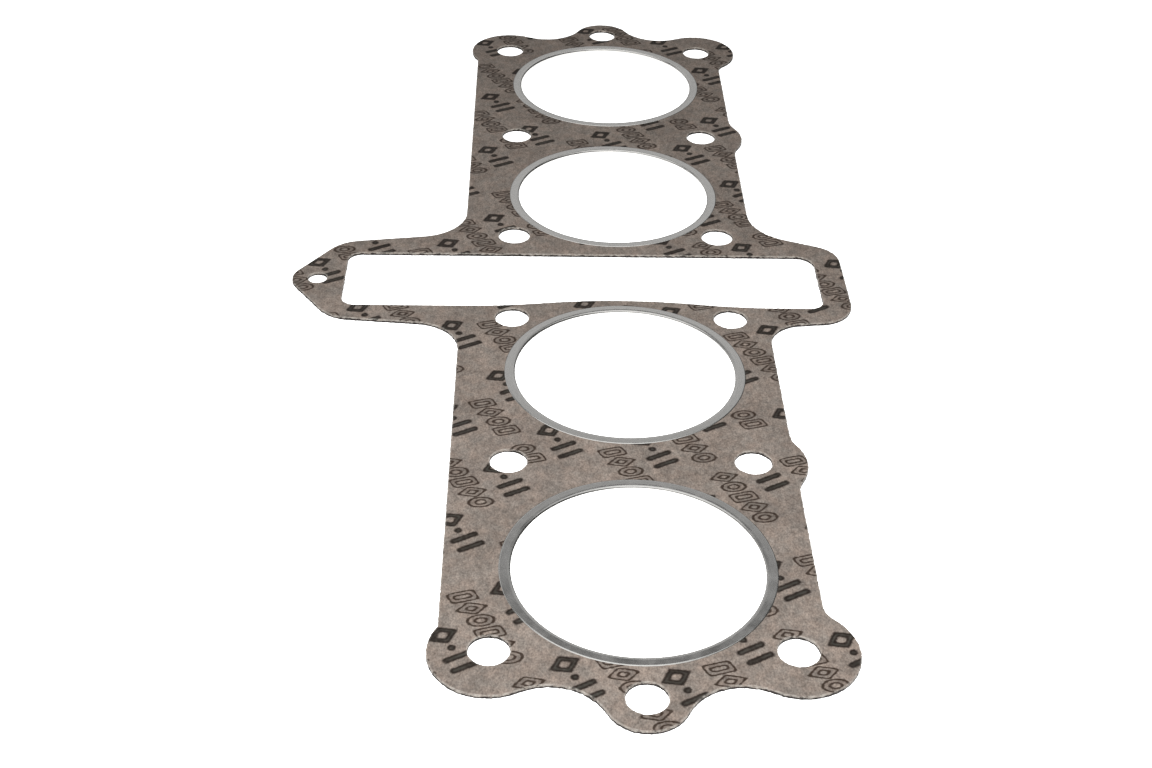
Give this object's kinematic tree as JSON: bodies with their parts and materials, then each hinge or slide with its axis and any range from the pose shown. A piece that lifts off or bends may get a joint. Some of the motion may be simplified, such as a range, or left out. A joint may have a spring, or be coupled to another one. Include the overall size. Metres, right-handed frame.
{
  "type": "cylinder head gasket",
  "caption": "Flat cylinder head gasket: a stamped fibre sheet with folded steel fire rings round a row of bores, stud holes, a cam chain window and a drilled ear.",
  "frame": {"origin": "middle of the stud pattern, on the underside of the facing sheet", "axes": "+Y along the row of cylinders, +X across it away from the ear, +Z out of the printed face"},
  "size_m": [0.1805, 0.4028, 0.0013],
  "materials": {
    "facing": "pressed grey-brown fibre sheet, matte, with dark printing",
    "ring_steel": "thin folded sheet steel, satin"
  },
  "bodies": {
    "root": {"facing_sheet": "facing", "fire_ring_1": "ring_steel", "fire_ring_2": "ring_steel", "fire_ring_3": "ring_steel", "fire_ring_4": "ring_steel"}
  },
  "joints": []
}
